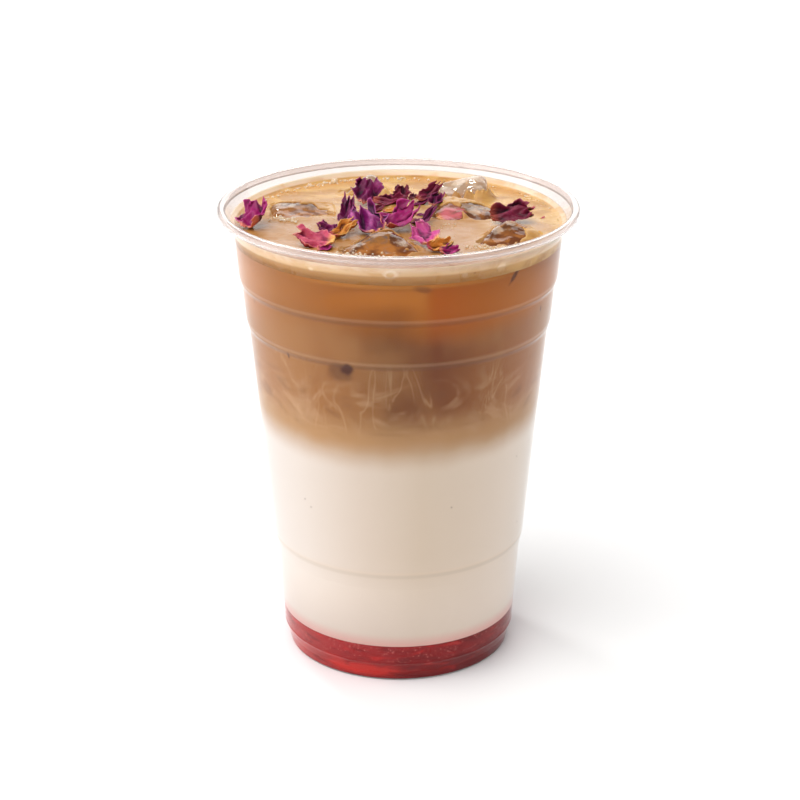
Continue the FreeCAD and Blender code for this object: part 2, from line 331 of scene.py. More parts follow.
cup_outline = beaded(round_corners(cup_corners(0)))
cup_outline += curl_arc(CURL_RADIUS - WALL, math.pi - FLARE, CURL_END - 2 * math.pi)
cup_outline += curl_arc(CURL_RADIUS, CURL_END - 2 * math.pi, math.pi - FLARE)
cup_outline += reversed(round_corners(cup_corners(WALL)))
cup = turned("cold_cup", cup_outline)
cup.data.set_sharp_from_angle(angle=math.radians(50))
cup.data.materials.append(plastic.material)
cup.visible_shadow = False
cup.visible_diffuse = False
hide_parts("cup")
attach(cup, "root")

# What is poured in reaches a little way into the sheet, so that no air shows between them.
WETTING = 0.12 * MM
wet_outline = round_corners(cup_corners(WALL - WETTING))


def wall_radius(height):
    """Radius of what is poured in at a height above the foot."""
    for lower, upper in zip(wet_outline, wet_outline[1:]):
        if upper.x > RING_RADIUS + WALL and lower.y <= height <= upper.y and upper.y > lower.y:
            return lower.x + (upper.x - lower.x) * (height - lower.y) / (upper.y - lower.y)
    return wet_outline[-1].x


def wet_side(low, high):
    """The wetted side of the cup between two heights, with both its ends."""
    inner = [point for point in wet_outline if point.x > RING_RADIUS + WALL and low < point.y < high]
    return [Vector((wall_radius(low), low))] + inner + [Vector((wall_radius(high), high))]


# ---- The rose syrup --------------------------------------------------
# A finger of clear deep red syrup, poured first. It fills the moat round the base panel. Its glow where
# light comes through it from the side is painted: a painted orange glow low at the front left, and red
# painted paler on the left and darker to the right. Fine bubbles hang in its upper part.

SYRUP_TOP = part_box("rose_syrup")[1].z
BAND_FROM, BAND_TO = 5.5, 6.3  # heights in millimetres: above the lower step it looks hazier

syrup = Finish("rose syrup")
angle, height = syrup.around()
band = syrup.fade(height, BAND_FROM, BAND_TO)
# Painted light and shade: the red is painted paler on the left and darkest right of the front, as the lamps
# light it
red = syrup.ramp(angle, [
    (-180, 146, 18, 22),
    (-80, 180, 60, 54),
    (-30, 148, 24, 26),
    (0, 128, 12, 14),
    (35, 108, 0, 4),
    (80, 122, 2, 8),
    (180, 146, 18, 22),
])
red = syrup.mix(syrup.times(band, 0.5), red, shade(136, 24, 28))
# A painted glow low at the front left, standing in for light that comes through the syrup from the side
painted_glow = syrup.times(syrup.spot(angle, height, -18, 3.0, 14, 1.8), 0.7)
red = syrup.mix(painted_glow, red, shade(204, 40, 28))
streaks = syrup.cloud(syrup.stretch((0.10, 0.10, 0.45)), distortion=0.8)
red = syrup.mix(syrup.fade(streaks, 0.52, 0.66, 0.0, 0.6), red, shade(98, 2, 10))
red = syrup.mix(syrup.fade(streaks, 0.44, 0.32, 0.0, 0.5), red, shade(196, 40, 34))
fizz = syrup.fade(syrup.cells(syrup.stretch(), 1.2), 0.30, 0.17)
fizz = syrup.times(fizz, band, syrup.fade(streaks, 0.42, 0.55))
red = syrup.mix(syrup.times(fizz, 0.55), red, shade(226, 124, 116))
syrup.set(Base_Color=red, Roughness=syrup.fade(streaks, 0.3, 0.7, 0.10, 0.16), Specular_IOR_Level=0.05)
syrup_outline = [point for point in wet_outline if point.x <= RING_RADIUS + WALL or point.y < SYRUP_TOP]
syrup_outline += [Vector((wall_radius(SYRUP_TOP), SYRUP_TOP)), Vector((0, SYRUP_TOP))]
syrup_piece = turned("rose_syrup_pour", syrup_outline)
syrup_piece.data.materials.append(syrup.material)
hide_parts("rose_syrup")
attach(syrup_piece, "root")


# ---- The milk and the latte ------------------------------------------
# White milk with espresso poured over it. They mix where they meet, so one piece of drink
# runs from the syrup to the foam: white, a soft tan border, and brown with pale wisps.

LATTE_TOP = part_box("latte")[1].z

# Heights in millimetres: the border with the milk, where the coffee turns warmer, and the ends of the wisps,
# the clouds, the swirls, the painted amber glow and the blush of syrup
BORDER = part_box("milk")[1].z / MM
UPPER_FROM, UPPER_TO = 98, 108
WISP_FOOT, WISP_TOP = 71, 97
CLOUD_FOOT, CLOUD_TOP = 70, 96
SWIRL_TOP = 92
PAINTED_GLOW_TOP = 114.6
BLUSH_FROM, BLUSH_TO = 15, 11

drink = Finish("milk and latte")
angle, height = drink.around()
broad = drink.cloud(drink.stretch((0.035, 0.035, 0.03)), detail=2.0)
soft = drink.cloud(drink.stretch((0.10, 0.10, 0.06), shift=(3, 1, 2)), detail=4.0, distortion=0.5)

# Espresso round the cup, by the angle from its front: painted shade darkest in front, and painted light and
# reflection palest at the sides
coffee = drink.ramp(angle, [
    (-180, 156, 100, 60),
    (-80, 170, 114, 72),
    (-48, 164, 113, 68),
    (-20, 148, 97, 54),
    (-4, 113, 67, 32),
    (14, 114, 60, 28),
    (30, 138, 84, 44),
    (52, 160, 104, 64),
    (80, 182, 132, 94),
    (180, 156, 100, 60),
])
coffee = drink.mix(drink.fade(soft, 0.35, 0.65, 0.0, 0.35), coffee, shade(168, 120, 74))

# Under the foam it is warmer, also painted paler at the sides and darker in front, with a painted amber glow
# standing in for light that comes down through the ice
upper = drink.ramp(angle, [
    (-180, 158, 92, 44),
    (-80, 196, 138, 98),
    (-46, 158, 101, 50),
    (-22, 150, 87, 28),
    (0, 142, 79, 20),
    (8, 166, 94, 22),
    (13, 164, 80, 4),
    (30, 168, 90, 16),
    (50, 178, 106, 42),
    (80, 190, 122, 70),
    (180, 158, 92, 44),
])
rising = drink.math("ADD", height, drink.sway(broad, 14.0))
colour = drink.mix(drink.fade(rising, UPPER_FROM, UPPER_TO), coffee, upper)
# The painted amber glow: an arch under the foam, from the front left to just right of the front
uneven = drink.math("ADD", angle, drink.sway(soft, 9.0))
arch = drink.math("POWER", drink.math("DIVIDE", angle, 30.0), 2.0)
arch = drink.math("MULTIPLY_ADD", arch, -3.5, PAINTED_GLOW_TOP)
below = drink.math("SUBTRACT", arch, height)
painted_glow = drink.times(drink.fade(uneven, -36, 2), drink.fade(uneven, 11.0, 8.0),
                   drink.fade(below, 7.0, 2.0), drink.fade(below, -1.0, 0.6))
colour = drink.mix(drink.times(painted_glow, 0.75), colour, shade(178, 106, 34))
stripe = drink.times(drink.fade(height, PAINTED_GLOW_TOP, PAINTED_GLOW_TOP + 0.8),
                     drink.fade(uneven, -50, -10), drink.fade(uneven, 48, 30))
colour = drink.mix(drink.times(stripe, 0.6), colour, shade(188, 122, 48))

# The border with the milk, and a blush of syrup at the milk's foot
mixing = drink.math("ADD", height, drink.sway(broad, 5.0))
mixing = drink.math("ADD", mixing, drink.sway(soft, 3.0))
colour = drink.mix(drink.fade(mixing, BORDER + 13, BORDER + 3, 0.0, 0.85), colour, shade(184, 142, 98))
# Milk with painted shade and light: darker and yellower in front, paler at the sides
white = drink.ramp(angle, [
    (-180, 222, 208, 192),
    (-90, 222, 216, 212),
    (-45, 222, 211, 202),
    (-15, 217, 201, 186),
    (10, 216, 198, 178),
    (32, 224, 207, 189),
    (52, 230, 215, 200),
    (90, 232, 222, 212),
    (180, 222, 208, 192),
])
# Painted light: the milk is painted paler towards its foot
white = drink.mix(drink.fade(height, 40, 16, 0.0, 0.5), white, shade(240, 226, 214))
white = drink.mix(drink.fade(height, BLUSH_FROM, BLUSH_TO, 0.0, 0.65), white, shade(232, 166, 160))
colour = drink.mix(drink.fade(mixing, BORDER + 4.5, BORDER - 5.5), colour, white)

# Thin pale wisps and soft clouds of milk drawn up into the coffee
veil = drink.cloud(drink.stretch((0.11, 0.11, 0.030), shift=(1, 7, 0)), detail=2.0, distortion=1.6)
wisp = drink.times(drink.fade(drink.apart(veil, 0.5), 0.022, 0.002),
                   drink.fade(height, WISP_TOP, WISP_TOP - 9),
                   drink.fade(height, WISP_FOOT, WISP_FOOT + 5),
                   drink.fade(soft, 0.42, 0.55))
colour = drink.mix(drink.times(wisp, 0.19), colour, shade(222, 184, 142))
cream = drink.cloud(drink.stretch((0.07, 0.07, 0.05), shift=(8, 3, 5)), detail=5.0, distortion=1.2)
cream = drink.times(drink.fade(cream, 0.48, 0.66), drink.fade(height, CLOUD_TOP, CLOUD_TOP - 12),
                    drink.fade(height, CLOUD_FOOT, CLOUD_FOOT + 6, 0.0, 0.38))
colour = drink.mix(cream, colour, shade(180, 142, 108))

# Slow swirls where milk and coffee fold into each other, pale and dark
swirls = drink.cloud(drink.stretch((0.06, 0.06, 0.10), shift=(2, 5, 1)), detail=5.0, distortion=2.2)
folded = drink.times(drink.fade(height, BORDER + 2, BORDER + 9),
                     drink.fade(height, SWIRL_TOP, SWIRL_TOP - 10))
pale = drink.times(folded, drink.fade(swirls, 0.50, 0.68, 0.0, 0.36))
dark = drink.times(folded, drink.fade(swirls, 0.48, 0.34, 0.0, 0.36))
colour = drink.mix(pale, colour, shade(198, 158, 120))
colour = drink.mix(dark, colour, shade(122, 80, 46))

# Light caught above each bead of the wall over the drink, and shade under it
BESIDE_BEAD = 0.45
for bead in BEADS[1:]:
    above = drink.apart(height, bead / MM + BESIDE_BEAD)
    below = drink.apart(height, bead / MM - BESIDE_BEAD)
    shadow = shade(98, 56, 30) if bead / MM > BORDER else shade(196, 178, 158)
    colour = drink.mix(drink.fade(below, 0.95, 0.15, 0.0, 0.36), colour, shadow)
    colour = drink.mix(drink.fade(above, 0.80, 0.10, 0.0, 0.10), colour, shade(236, 206, 174))

# Dark marks where ice touches the wall: angle, height, half sizes, lean, how dark
CONTACTS = [
    (-21.5, 91.0, 3.6, 2.8, 0, 0.50),
    (-19.0, 92.1, 1.9, 1.5, 20, 0.95),
    (-45.0, 92.6, 0.35, 0.9, 0, 0.8),
    (43.0, 115.0, 0.6, 2.6, -38, 0.75),
    (8.0, 114.8, 2.4, 0.9, -10, 0.45),
    (63.0, 102.0, 0.3, 0.9, 0, 0.8),
    (-64.0, 104.0, 0.3, 0.9, 0, 0.5),
]
for at_angle, at_height, half_wide, half_tall, lean, dark in CONTACTS:
    mark = drink.spot(angle, height, at_angle, at_height, half_wide, half_tall, lean)
    colour = drink.mix(drink.times(mark, dark), colour, shade(74, 38, 28))

# A few fine specks of coffee
speck = drink.fade(drink.cells(drink.stretch(), 0.13), 0.045, 0.03)
colour = drink.mix(drink.times(speck, 0.4), colour, shade(120, 84, 66))
drink.set(Base_Color=colour, Roughness=drink.fade(soft, 0.3, 0.7, 0.26, 0.36), Specular_IOR_Level=0.02)
drink_outline = [Vector((0, SYRUP_TOP))] + wet_side(SYRUP_TOP, LATTE_TOP) + [Vector((0, LATTE_TOP))]
drink_piece = turned("milk_and_latte", drink_outline)
drink_piece.data.materials.append(drink.material)
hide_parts("milk", "latte")
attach(drink_piece, "root")


# ---- The ice ---------------------------------------------------------
# Machine ice: clear cubes with melted, uneven faces and cloudy places. They float with only
# their tops out of the drink, wet with coffee and partly coated by the foam.

MELT = 0.35 * MM
ICE_GRAIN = 0.5 * MM
HOLLOW_SIZE = 7 * MM
FACET_SIZE = 5 * MM
STAIN_X, STAIN_Y = 14.0, 4.8  # in millimetres: where a petal frozen in tints the ice

# Where each cube's top swells highest as it melts: x, y, rise and reach in millimetres
SWELLINGS = {
    "ice_1": (-27.0, 12.0, 0.7, 7),
    "ice_2": (-4.0, -22.5, 1.7, 8),
    "ice_3": (29.0, -12.0, 1.6, 8),
    "ice_4": (15.5, 8.5, 1.3, 7),
    "ice_5": (21.0, 27.0, 0.6, 6),
    "ice_6": (-8.5, 31.5, 0.5, 5),
    "ice_7": (-1.0, 8.5, 1.0, 7),
}


def worked_out(piece):
    """Mesh of a piece as its modifiers leave it."""
    evaluated = piece.evaluated_get(bpy.context.evaluated_depsgraph_get())
    return bpy.data.meshes.new_from_object(evaluated)


def melted(node):
    """Mesh of a cube from its solid, evenly divided and melted into shallow hollows."""
    block = placed(node + "_block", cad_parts[node].data.copy())
    remesh = block.modifiers.new("even", "REMESH")
    remesh.mode = "VOXEL"
    remesh.voxel_size = ICE_GRAIN
    smooth = block.modifiers.new("soft", "SMOOTH")
    smooth.iterations = 5
    mesh = worked_out(block)
    bpy.data.objects.remove(block)
    x, y, rise, reach = SWELLINGS[node]
    peak = Vector((x, y)) * MM
    low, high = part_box(node)
    normals = [vertex.normal.copy() for vertex in mesh.vertices]
    for vertex, normal in zip(mesh.vertices, normals):
        near = math.exp(-((vertex.co.xy - peak).length / (reach * MM)) ** 2)
        upper = max(0.0, (vertex.co.z - (low.z + high.z) / 2) / ((high.z - low.z) / 2))
        vertex.co.z += rise * MM * (1.5 * near - 0.5) * upper
        broad = noise.noise(vertex.co / HOLLOW_SIZE)
        facet = abs(noise.noise(vertex.co / FACET_SIZE))
        vertex.co -= normal * MELT * (0.3 + 0.9 * broad + 1.4 * facet)
    return mesh


ice = Finish("wet ice")
frost = ice.cloud(ice.stretch((0.16, 0.16, 0.16)))
vein = ice.cloud(ice.stretch((0.20, 0.20, 0.20), shift=(6, 2, 9)), detail=2.0, distortion=0.8)
fizz = ice.fade(ice.cells(ice.stretch(), 1.4), 0.30, 0.12)
cloudy = ice.times(ice.fade(frost, 0.52, 0.62), ice.math("MULTIPLY_ADD", fizz, 0.4, 0.6))
x, y, _ = ice.parts(ice.stretch())
behind = ice.fade(y, 17, 22)
tint = ice.mix(ice.fade(vein, 0.38, 0.60), shade(114, 68, 32), shade(202, 138, 68))
tint = ice.mix(ice.fade(vein, 0.58, 0.68), tint, shade(156, 128, 112))
tint = ice.mix(ice.times(behind, 0.8), tint, shade(236, 212, 182))
tint = ice.mix(ice.times(cloudy, 0.8), tint, shade(240, 224, 204))
from_stain = ice.reach(ice.math("SUBTRACT", x, STAIN_X), ice.math("SUBTRACT", y, STAIN_Y))
tint = ice.mix(ice.fade(from_stain, 4.0, 2.6, 0.0, 0.9), tint, shade(214, 138, 122))
ice.set(Base_Color=tint, Roughness=ice.fade(frost, 0.45, 0.75, 0.03, 0.12), IOR=1.42,
        Transmission_Weight=ice.math("MULTIPLY_ADD", cloudy, -0.35, 0.62))
ice.bump(ice.cloud(ice.stretch((0.35, 0.35, 0.35)), detail=1.0), 0.4 * MM)

ice_pieces = {}
for node in SWELLINGS:
    mesh = melted(node)
    piece = placed(node.replace("ice", "ice_cube"), mesh)
    mesh.shade_smooth()
    mesh.materials.clear()
    mesh.materials.append(ice.material)
    piece.visible_shadow = False
    piece.visible_diffuse = False
    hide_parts(node)
    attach(piece, "root")
    ice_pieces[node] = piece


# ---- The crema -------------------------------------------------------
# Tan coffee foam a few millimetres thick, drawn up the wall at its edge. It lies uneven, and
# runs over the cubes as a thin coat, with clear places where the wet ice shows.

CREMA_TOP = 119.9 * MM
MENISCUS_RISE = 1.0 * MM
MENISCUS_WIDTH = 2.6 * MM
CREMA_RINGS = 150
CREMA_SEGMENTS = 560
CREMA_SINK = 0.3 * MM
LUMP_HEIGHT, LUMP_SIZE = 0.30 * MM, 9 * MM
FINE_HEIGHT, FINE_SIZE = 0.07 * MM, 2 * MM
ABOVE_ALL = 140 * MM  # a height to look down from
ICE_SHOWS = CREMA_TOP - 2 * MM
COAT = 0.32 * MM
COAT_GRAIN = 1.4 * MM
SKIRT = 2.8 * MM
DIP = 0.7 * MM
FOAM_BITE = 0.12 * MM
RAGGED, RAG_SIZE = 0.35, 2.2 * MM

# Clear places on each cube, in millimetres: middle, half-length, half-width, turn in degrees
CLEAR_PLACES = {
    "ice_1": [(-28.0, 8.0, 8.0, 5.0, 0), (-19.6, 6.2, 3.8, 2.6, -10)],
    "ice_2": [(-5.4, -26.4, 9.0, 5.6, 6)],
    "ice_3": [(23.0, -18.2, 5.6, 4.0, 35), (28.0, -14.8, 3.8, 6.0, 10), (32.0, -8.6, 4.6, 4.0, -30)],
    "ice_4": [(11.8, 3.8, 5.0, 4.6, 0), (21.4, 5.8, 5.0, 4.0, -30)],
    "ice_5": [(18.0, 25.4, 7.4, 6.6, 0)],
    "ice_6": [(-8.4, 30.0, 5.4, 5.4, 0), (-12.0, 23.0, 2.4, 2.6, 0)],
    "ice_7": [(-8.8, -2.8, 3.2, 3.0, 0), (2.8, 8.6, 2.6, 2.0, 20)],
}


def tree_of(mesh):
    """A mesh as a tree that can be searched for its nearest or its topmost point."""
    shape = bmesh.new()
    shape.from_mesh(mesh)
    tree = BVHTree.FromBMesh(shape)
    shape.free()
    return tree


ice_trees = {node: tree_of(piece.data) for node, piece in ice_pieces.items()}
ice_boxes = {node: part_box(node) for node in ice_pieces}


def coated(node, x, y):
    """How far foam covers a cube at a point of the plan: 0 in its clear places, 1 away from them."""
    ragged = RAGGED * noise.noise(Vector((x, y, 0)) / RAG_SIZE)
    coat = 1.0
    for middle_x, middle_y, half_length, half_width, turn in CLEAR_PLACES[node]:
        offset = Vector((x / MM - middle_x, y / MM - middle_y, 0))
        offset.rotate(Euler((0, 0, -math.radians(turn))))
        reach = math.hypot(offset.x / half_length, offset.y / half_width) + ragged
        coat = min(coat, max(0.0, (reach - 0.92) / 0.22))
    return coat * coat * (3 - 2 * coat)


def foam_height(x, y, outer):
    """Height of the foam at a point of the plan; outer is its radius at the wall."""
    here = Vector((x, y, 0))
    lumps = LUMP_HEIGHT * noise.noise(here / LUMP_SIZE) + FINE_HEIGHT * noise.noise(here / FINE_SIZE)
    climb = max(0.0, 1 - (outer - here.length) / MENISCUS_WIDTH)
    further = 1 + 0.9 * max(0.0, y / outer)
    level = CREMA_TOP + lumps * (1 - climb) + MENISCUS_RISE * further * climb ** 2
    base = level
    for node, (low, high) in ice_boxes.items():
        if not (low.x - SKIRT < x < high.x + SKIRT and low.y - SKIRT < y < high.y + SKIRT):
            continue
        tree = ice_trees[node]
        hit = tree.ray_cast(Vector((x, y, ABOVE_ALL)), Vector((0, 0, -1)))[0]
        if hit is not None and hit.z > ICE_SHOWS:
            thick = COAT * (1 + 0.7 * noise.noise(here / COAT_GRAIN))
            share = coated(node, x, y)
            level = max(level, base + max(0.0, hit.z + thick - base) * share) - DIP * (1 - share)
            continue
        nearest, _, _, gap = tree.find_nearest(Vector((x, y, CREMA_TOP + 0.5 * MM)), SKIRT)
        if nearest is not None:
            rise = (high.z - CREMA_TOP) * 0.8 * (1 - gap / SKIRT) ** 2
            level = max(level, base + rise * coated(node, nearest.x, nearest.y))
    return level


def crema_mesh():
    """Foam as a closed shape: its uneven top, its side against the wall and a flat underside."""
    shape = bmesh.new()
    edge = wall_radius(CREMA_TOP + MENISCUS_RISE)
    middle = shape.verts.new((0, 0, foam_height(0, 0, edge)))
    around = circle(CREMA_SEGMENTS)
    rings = []
    for ring in range(1, CREMA_RINGS + 1):
        radius = edge * (ring / CREMA_RINGS) ** 0.85
        places = [(radius * x, radius * y) for x, y in around]
        rings.append([shape.verts.new((x, y, foam_height(x, y, edge))) for x, y in places])
    side = wet_side(LATTE_TOP - CREMA_SINK, CREMA_TOP + MENISCUS_RISE)[-2::-1]
    for point in side:
        rings.append([shape.verts.new((point.x * x, point.x * y, point.y)) for x, y in around])
    bottom = shape.verts.new((0, 0, side[-1].y))
    for segment in range(CREMA_SEGMENTS):
        following = (segment + 1) % CREMA_SEGMENTS
        shape.faces.new((middle, rings[0][segment], rings[0][following]))
        shape.faces.new((bottom, rings[-1][following], rings[-1][segment]))
        for inner, outer in zip(rings, rings[1:]):
            shape.faces.new((inner[segment], outer[segment], outer[following], inner[following]))
    return shape


def shrunk(mesh, depth):
    """A copy drawn in from its surface."""
    smaller = mesh.copy()
    for vertex, outer in zip(smaller.vertices, mesh.vertices):
        vertex.co = outer.co - outer.normal * depth
    return smaller


crema = Finish("crema foam")
angle, height = crema.around()
x, y, _ = crema.parts(crema.stretch())
from_axis = crema.reach(x, y)
swirl = crema.cloud(crema.stretch((0.06, 0.10, 0.1)), detail=4.0, distortion=1.4)
patch = crema.cloud(crema.stretch((0.11, 0.11, 0.11), shift=(4, 9, 2)))
top = crema.mix(crema.fade(swirl, 0.38, 0.60), shade(180, 130, 68), shade(208, 164, 98))
browner = crema.times(crema.fade(y, 22, -4), crema.fade(x, 36, 16))
top = crema.mix(crema.times(browner, 0.9), top, shade(166, 113, 56))
amber = crema.times(crema.fade(from_axis, 35, 40), crema.fade(from_axis, 43.2, 41.5),
                    crema.fade(y, 12, 30), crema.fade(patch, 0.36, 0.52))
top = crema.mix(crema.times(amber, 0.8), top, shade(196, 138, 70))
pits = crema.fade(crema.cells(crema.stretch((1, 1.3, 0.6)), 0.9), 0.24, 0.15)
pits = crema.times(pits, crema.fade(patch, 0.54, 0.64))
top = crema.mix(crema.times(pits, 0.75), top, shade(140, 88, 44))

# Its side against the wall: paler, and painted lighter towards its top, standing in for light from above
# that comes into the foam, with a dark wavy foot, one large bubble and small ones
side = crema.ramp(height, [
    (116, 200, 142, 74),
    (117.6, 220, 172, 108),
    (119.4, 228, 196, 154),
    (121, 230, 204, 178),
])
side = crema.mix(crema.fade(swirl, 0.45, 0.65, 0.0, 0.5), side, shade(208, 156, 92))
edge_wave = crema.sway(crema.cloud(crema.stretch((0.12, 0.12, 0.0))), 1.6)
sunk = crema.fade(crema.math("ADD", height, edge_wave), 117.0, 116.6)
side = crema.mix(sunk, side, shade(170, 104, 50))
WIDE_BUBBLE = (-2.6, 119.0)  # angle in degrees, height in millimetres
inside = crema.spot(angle, height, *WIDE_BUBBLE, 1.2, 0.8)
ring = crema.times(crema.spot(angle, height, *WIDE_BUBBLE, 1.8, 1.2), crema.math("SUBTRACT", 1.0, inside))
side = crema.mix(crema.times(ring, 0.6), side, shade(255, 244, 226))
DARK_DOTS = [(-1.4, 117.1, 0.5), (-41.0, 116.9, 0.35), (26.0, 118.0, 0.3)]
PALE_DOTS = [(36.5, 118.3, 1.3), (22.4, 117.6, 0.8), (-30.0, 118.6, 0.7)]
for dots, share, tone in ((DARK_DOTS, 0.8, (120, 74, 44)), (PALE_DOTS, 0.55, (255, 234, 200))):
    for at_angle, at_height, size in dots:
        dot = crema.spot(angle, height, at_angle, at_height, size, size)
        side = crema.mix(crema.times(dot, share), side, shade(*tone))
colour = crema.mix(crema.fade(from_axis, 42.6, 43.1), top, side)
froth = crema.cells(crema.stretch(), 2.4)
crema.set(Base_Color=colour, Roughness=crema.fade(patch, 0.35, 0.65, 0.22, 0.42),
          Specular_IOR_Level=0.3, Subsurface_Weight=0.3, Subsurface_Scale=1.2 * MM,
          Subsurface_Radius=(1.0, 0.65, 0.35))
crema.bump(crema.math("ADD", froth, crema.times(pits, -1.5)), 0.05 * MM, 0.6)
crema_piece = new_piece("crema_foam", crema_mesh())
crema_piece.data.materials.append(crema.material)

# Hollowed where the cubes stand in it
cutters = []
for node, piece in ice_pieces.items():
    cutter = placed(node + "_hollow", shrunk(piece.data, FOAM_BITE))
    cut = crema_piece.modifiers.new(node, "BOOLEAN")
    cut.operation = "DIFFERENCE"
    cut.solver = "MANIFOLD"
    cut.object = cutter
    cutters.append(cutter)
hollowed = worked_out(crema_piece)
crema_piece.modifiers.clear()
crema_piece.data = hollowed
for cutter in cutters:
    bpy.data.objects.remove(cutter)
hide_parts("crema")
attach(crema_piece, "root")


# ---- The bubbles -----------------------------------------------------
# Beads of froth, mostly under a millimetre wide: thick along the back of the cup, where four are
# larger, in rows at the foot of the cubes, and thin round the rest of the wall.

# Numbers of bubbles, and their sizes and places in millimetres and degrees
BUBBLE_SEED = 7
SMALLEST = 0.10
BACK_BUBBLES, BACK_REACH, BACK_ANGLE = 130, 41.6, 112
WALL_BUBBLES, WALL_REACH = 60, 41.9
SCATTER = 1.1
LARGE_BUBBLES = [(-17.8, 36.6, 1.15), (-20.6, 35.6, 0.6), (-9.5, 39.8, 0.7), (-24.5, 33.2, 0.7)]
CUBE_ROWS = [  # at the foot of the cubes: both ends, how many, the largest radius
    ((-13.5, -29.0), (-4.0, -33.6), 70, 0.42),
    ((18.6, -23.6), (26.0, -25.4), 60, 0.42),
    ((-33.0, 1.6), (-26.5, -1.0), 60, 0.60),
    ((8.0, -6.0), (15.0, -3.0), 20, 0.25),
    ((-18.0, 0.0), (-12.5, 14.0), 14, 0.22),
]

foam_tree = tree_of(crema_piece.data)


def surface_height(x, y):
    """Height of what lies uppermost at a point of the plan, foam or ice."""
    highest = CREMA_TOP
    for tree in [foam_tree, *ice_trees.values()]:
        hit = tree.ray_cast(Vector((x, y, ABOVE_ALL)), Vector((0, 0, -1)))[0]
        if hit is not None:
            highest = max(highest, hit.z)
    return highest


def bubble_places(chance):
    """Where the bubbles lie, as (x, y, radius) in millimetres."""
    places = list(LARGE_BUBBLES)
    for _ in range(BACK_BUBBLES):
        turn = math.radians(chance.gauss(BACK_ANGLE, 26))
        reach = BACK_REACH - abs(chance.gauss(0, SCATTER))
        places.append((reach * math.cos(turn), reach * math.sin(turn), chance.uniform(0.14, 0.42)))
    for _ in range(WALL_BUBBLES):
        turn = math.radians(chance.uniform(0, 360))
        radius = chance.uniform(SMALLEST, 0.26)
        places.append((WALL_REACH * math.cos(turn), WALL_REACH * math.sin(turn), radius))
    for start, end, count, largest in CUBE_ROWS:
        for _ in range(count):
            share = chance.random()
            x = start[0] + (end[0] - start[0]) * share + chance.gauss(0, SCATTER)
            y = start[1] + (end[1] - start[1]) * share + chance.gauss(0, SCATTER)
            places.append((x, y, SMALLEST + (largest - SMALLEST) * chance.random() ** 2))
    return places


film = Finish("bubble film")
skin = film.cloud(film.stretch((1.2, 1.2, 1.2)), detail=2.0)
film.set(Base_Color=film.mix(film.fade(skin, 0.4, 0.6), shade(255, 248, 234), shade(240, 216, 176)),
         Roughness=film.fade(skin, 0.3, 0.7, 0.04, 0.14), IOR=1.33, Transmission_Weight=0.55)
froth_shape = bmesh.new()
for x, y, radius in bubble_places(random.Random(BUBBLE_SEED)):
    centre = Vector((x * MM, y * MM, surface_height(x * MM, y * MM) + 0.25 * radius * MM))
    bmesh.ops.create_icosphere(froth_shape, subdivisions=2, radius=radius * MM,
                               matrix=Matrix.Translation(centre))
froth_piece = new_piece("froth_bubbles", froth_shape)
froth_piece.data.materials.append(film.material)
froth_piece.visible_shadow = False
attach(froth_piece, "root")


# ---- The rose petals -------------------------------------------------
# Rose petals, cupped, pleated and crumpled as they dried, in purples, crimson, pink and amber,
# each with its claw in another shade. They lie where they fell, on the foam and against the ice.

PETAL_FIELDS = ("x", "y", "length", "width", "turn", "pitch", "roll", "cupping", "curl", "kind")
PETALS = [  # in millimetres and degrees
    (-37.0, -4.2, 9.8, 9.6, 75, -24, -22, 95, 60, "magenta"),
    (-8.6, 16.8, 9.2, 7.6, 84, -26, 6, 60, 50, "purple"),
    (0.9, 18.4, 5.4, 5.0, 80, -30, 0, 70, 40, "crimson"),
    (8.2, 18.6, 8.0, 3.8, 40, -20, 18, 50, 45, "crimson"),
    (-2.4, 10.4, 9.0, 4.6, -32, -10, 26, 80, 50, "crimson"),
    (-13.2, -0.6, 11.6, 4.6, 82, -18, -12, 90, 55, "purple"),
    (-17.6, -11.6, 6.2, 4.2, 150, -10, -14, 80, 70, "purple"),
    (-7.3, -9.4, 10.6, 9.2, 118, -18, -12, 70, 75, "violet"),
    (0.5, -7.4, 10.6, 9.0, 42, -16, 8, 85, 80, "magenta"),
    (9.9, 10.8, 4.8, 3.8, 60, -20, 12, 90, 60, "purple"),
    (7.2, -2.6, 8.2, 2.2, 64, -16, 20, 80, 40, "purple"),
    (29.4, -1.6, 10.0, 7.4, 6, -6, 28, 60, 40, "crimson"),
    (-21.0, -21.6, 9.4, 6.6, 170, -8, -18, 55, 60, "pink"),
    (-14.3, -13.6, 8.4, 3.8, 48, -14, 16, 80, 50, "amber"),
    (6.8, -20.6, 8.0, 6.8, 128, -14, -18, 60, 60, "rosy"),
    (10.2, -26.4, 6.2, 4.8, 18, -6, 20, 120, 80, "amber"),
    (12.7, -29.4, 4.4, 4.0, 12, -6, 22, 70, 60, "magenta"),
]
PETAL_SHEET = 0.16 * MM
PETAL_SEEDS = 1.7  # step between the petals' seeds, so that each crumples in its own way
FULL_WIDTH = 7  # narrower petals crumple less, in millimetres
# The dark colour is painted shade in the folds, and the pale one is also painted light on their ridges
PETAL_COLOURS = {  # dark folds, body, pale parts, claw
    "magenta": ((70, 0, 40), (148, 6, 92), (200, 62, 142), (220, 130, 110)),
    "purple": ((44, 0, 28), (104, 2, 66), (158, 44, 114), (196, 120, 100)),
    "violet": ((48, 0, 40), (120, 6, 92), (206, 104, 172), (214, 150, 110)),
    "crimson": ((48, 0, 20), (106, 2, 42), (152, 32, 76), (170, 80, 66)),
    "pink": ((120, 4, 56), (196, 74, 104), (228, 140, 128), (240, 190, 112)),
    "rosy": ((84, 0, 60), (192, 66, 134), (228, 140, 164), (236, 180, 104)),
    "amber": ((112, 56, 18), (206, 132, 50), (238, 190, 108), (190, 74, 96)),
}


